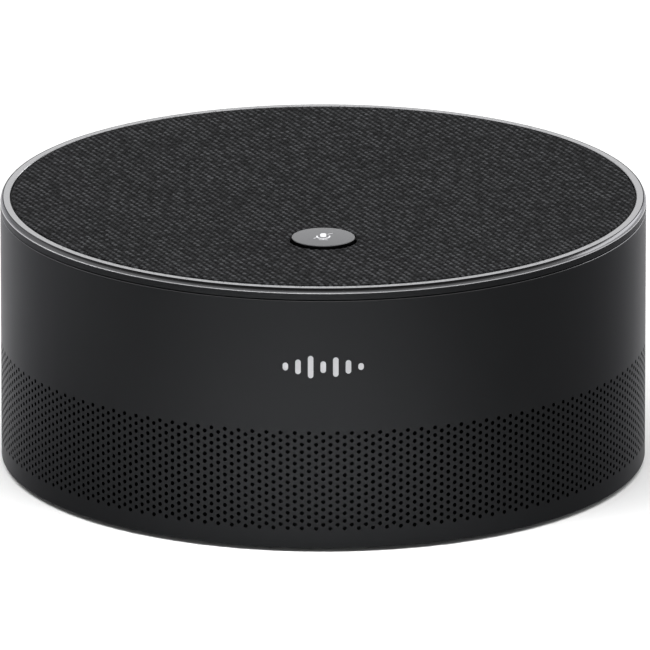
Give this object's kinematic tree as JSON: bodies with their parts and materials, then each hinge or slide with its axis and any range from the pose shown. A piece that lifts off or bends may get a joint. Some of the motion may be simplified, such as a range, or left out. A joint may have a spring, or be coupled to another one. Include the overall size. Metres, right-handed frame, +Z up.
{
  "type": "conference speakerphone",
  "caption": "Round tabletop conference speakerphone with a cloth top, an off-centre mute button, a perforated lower wall and a down-firing loudspeaker.",
  "frame": {"origin": "centre of the round body on the table surface under the rubber foot", "axes": "+Z up, through the cloth top; the front, with the mark and the mute button, faces -Y; the ports face +Y"},
  "size_m": [0.13, 0.13, 0.0554],
  "materials": {
    "shell_plastic": "satin charcoal moulded plastic",
    "mark_print": "light grey printed inlay",
    "ring_metal": "satin dark anodised metal",
    "cloth": "black acoustic cloth, twill weave",
    "button_face": "satin grey plastic",
    "icon_print": "white print",
    "black_plastic": "moulded black plastic",
    "mesh_cloth": "fine black acoustic mesh",
    "foot_rubber": "matt rubber",
    "soft_rubber": "soft rubber and foam seals",
    "screw_steel": "zinc plated",
    "pressed_steel": "nickel plated steel",
    "board_green": "glass-epoxy board with solder mask",
    "chip_black": "moulded epoxy",
    "can_aluminium": "drawn aluminium cans",
    "led_clear": "clear cast resin",
    "driver_steel": "black coated steel",
    "magnet": "sintered magnet, plated",
    "coil_copper": "enamelled copper wire",
    "paper_pulp": "pressed paper pulp and treated cloth",
    "lead_jacket": "soft wire insulation",
    "label_foil": "blank printed foil"
  },
  "bodies": {
    "housing": {"base_plate": "black_plastic", "base_screws": "screw_steel", "board_header": "black_plastic", "board_screws": "screw_steel", "board_socket": "black_plastic", "board_spacers": "screw_steel", "button_leds": "led_clear", "capacitors": "can_aluminium", "chamber_gasket": "soft_rubber", "chamber_lid": "black_plastic", "chamber_screws": "screw_steel", "cone_surround": "soft_rubber", "diffuser_cone": "black_plastic", "driver_basket": "driver_steel", "driver_gasket": "soft_rubber", "driver_magnet": "magnet", "driver_screws": "screw_steel", "driver_terminals": "lead_jacket", "driver_top_plate": "driver_steel", "driver_yoke": "driver_steel", "enclosure_shell": "shell_plastic", "foot_ring": "foot_rubber", "front_mark": "mark_print", "grille_mesh": "mesh_cloth", "lead_grommet": "soft_rubber", "light_pipes": "led_clear", "lock_slot_plate": "pressed_steel", "main_board": "board_green", "microphone_board": "board_green", "microphone_gaskets": "soft_rubber", "microphones": "can_aluminium", "port_bezel": "black_plastic", "power_chips": "chip_black", "processor": "chip_black", "ring_screws": "screw_steel", "shield_can": "pressed_steel", "speaker_chamber": "black_plastic", "speaker_connector": "black_plastic", "speaker_leads": "lead_jacket", "spider": "paper_pulp", "status_leds": "led_clear", "switch_body": "black_plastic", "top_cloth": "cloth", "top_plate": "black_plastic", "top_trim_ring": "ring_metal", "underside_label": "label_foil", "usb_receptacle_shell": "pressed_steel", "usb_receptacle_tongue": "black_plastic"},
    "mute_button": {"mute_button_cap": "button_face", "mute_button_icon": "icon_print", "switch_plunger": "black_plastic"},
    "cone": {"speaker_cone": "paper_pulp", "dust_cap": "paper_pulp", "voice_coil_former": "paper_pulp", "voice_coil_winding": "coil_copper"}
  },
  "joints": [
    {"name": "mute_button_press", "type": "slide", "parent": "housing", "child": "mute_button", "axis": [0, 0, -1], "range_m": [0, 0.0005], "stiffness_N_per_m": 1500, "springref_m": -0.0003},
    {"name": "speaker_cone_travel", "type": "slide", "parent": "housing", "child": "cone", "axis": [0, 0, -1], "range_m": [-0.0015, 0.0015], "stiffness_N_per_m": 1500, "deforming": ["cone_surround", "spider"]}
  ]
}
